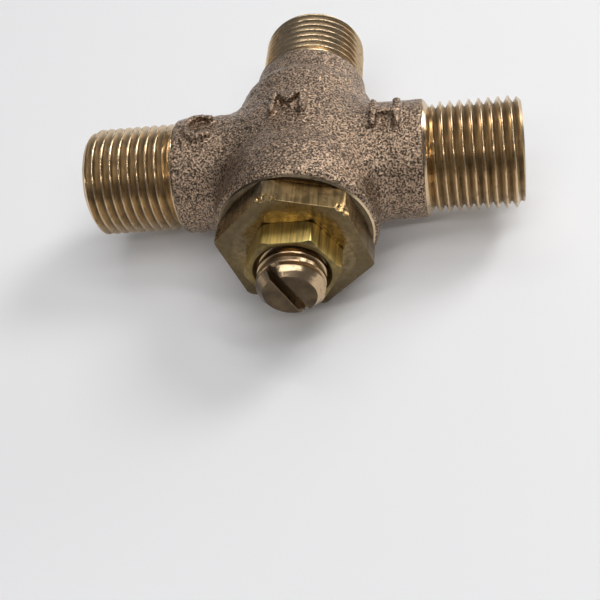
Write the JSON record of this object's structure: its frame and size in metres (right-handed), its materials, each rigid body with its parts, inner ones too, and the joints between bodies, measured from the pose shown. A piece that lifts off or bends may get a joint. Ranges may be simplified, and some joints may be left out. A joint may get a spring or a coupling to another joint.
{
  "type": "mixing valve with a wax temperature element",
  "caption": "Cast bronze mixing tee: hot and cold male inlets in line, a mixed outlet at the back, and a brass hex bonnet with a lock nut and slotted adjusting stem.",
  "frame": {"origin": "where the axes of the two inlets and the outlet cross", "axes": "+X out of the hot inlet, +Y out of the mixed outlet, +Z towards the side with the raised port letters"},
  "size_m": [0.085, 0.0713, 0.0314],
  "materials": {
    "cast_bronze": "sand-cast, rough; ports machined bright",
    "machined_brass": "turned and milled",
    "stem_brass": "turned",
    "nut_brass": "turned",
    "seal_rubber": "matt",
    "spring_steel": "drawn wire and pressed sheet",
    "inner_plastic": "moulded",
    "check_seat_rubber": "matt",
    "element_copper": "drawn copper cup"
  },
  "bodies": {
    "valve": {"valve_body": "cast_bronze", "bonnet": "machined_brass", "bonnet_seal_ring": "seal_rubber", "cold_seat_ring": "machined_brass", "cold_strainer": "spring_steel", "cold_check_seat": "check_seat_rubber", "cold_check_cage": "inner_plastic", "hot_strainer": "spring_steel", "hot_check_seat": "check_seat_rubber", "hot_check_cage": "inner_plastic"},
    "lock_nut": {"lock_nut": "nut_brass"},
    "stem_carriage": {"spring_washer": "spring_steel", "overtravel_spring": "spring_steel"},
    "stem": {"adjusting_stem": "stem_brass", "stem_seal_ring": "seal_rubber", "plunger_clip": "spring_steel"},
    "plunger": {"overtravel_plunger": "stem_brass", "element_pin": "spring_steel"},
    "shuttle": {"shuttle": "inner_plastic", "shuttle_seal_ring": "seal_rubber", "wax_element": "element_copper", "return_spring": "spring_steel"},
    "cold_check": {"cold_check_poppet": "inner_plastic", "cold_check_spring": "spring_steel"},
    "hot_check": {"hot_check_poppet": "inner_plastic", "hot_check_spring": "spring_steel"}
  },
  "joints": [
    {"name": "stem_turn", "type": "hinge", "parent": "stem_carriage", "child": "stem", "pos_m": [0, 0, 0], "axis": [0, 1, 0], "range_deg": [-331.8, 331.8]},
    {"name": "stem_travel", "type": "slide", "parent": "valve", "child": "stem_carriage", "axis": [0, 1, 0], "range_m": [-0.0018, 0.0018]},
    {"name": "overtravel", "type": "slide", "parent": "stem_carriage", "child": "plunger", "axis": [0, -1, 0], "range_m": [0, 0.0025], "stiffness_N_per_m": 1200, "springref_m": -0.002, "deforming": ["overtravel_spring"]},
    {"name": "shuttle_slide", "type": "slide", "parent": "valve", "child": "shuttle", "axis": [0, 1, 0], "range_m": [-0.0009, 0.0009], "stiffness_N_per_m": 1200, "deforming": ["return_spring"]},
    {"name": "cold_check_lift", "type": "slide", "parent": "valve", "child": "cold_check", "axis": [1, 0, 0], "range_m": [0, 0.0025], "stiffness_N_per_m": 60, "springref_m": -0.004, "deforming": ["cold_check_spring"]},
    {"name": "hot_check_lift", "type": "slide", "parent": "valve", "child": "hot_check", "axis": [-1, 0, 0], "range_m": [0, 0.0025], "stiffness_N_per_m": 60, "springref_m": -0.004, "deforming": ["hot_check_spring"]},
    {"name": "lock_nut_turn", "type": "hinge", "parent": "valve", "child": "lock_nut", "pos_m": [0, 0, 0], "axis": [0, 1, 0], "continuous": true}
  ],
  "couplings": [
    {"joint": "stem_turn", "follows": "stem_travel", "rad_per_m": 3215.6}
  ]
}
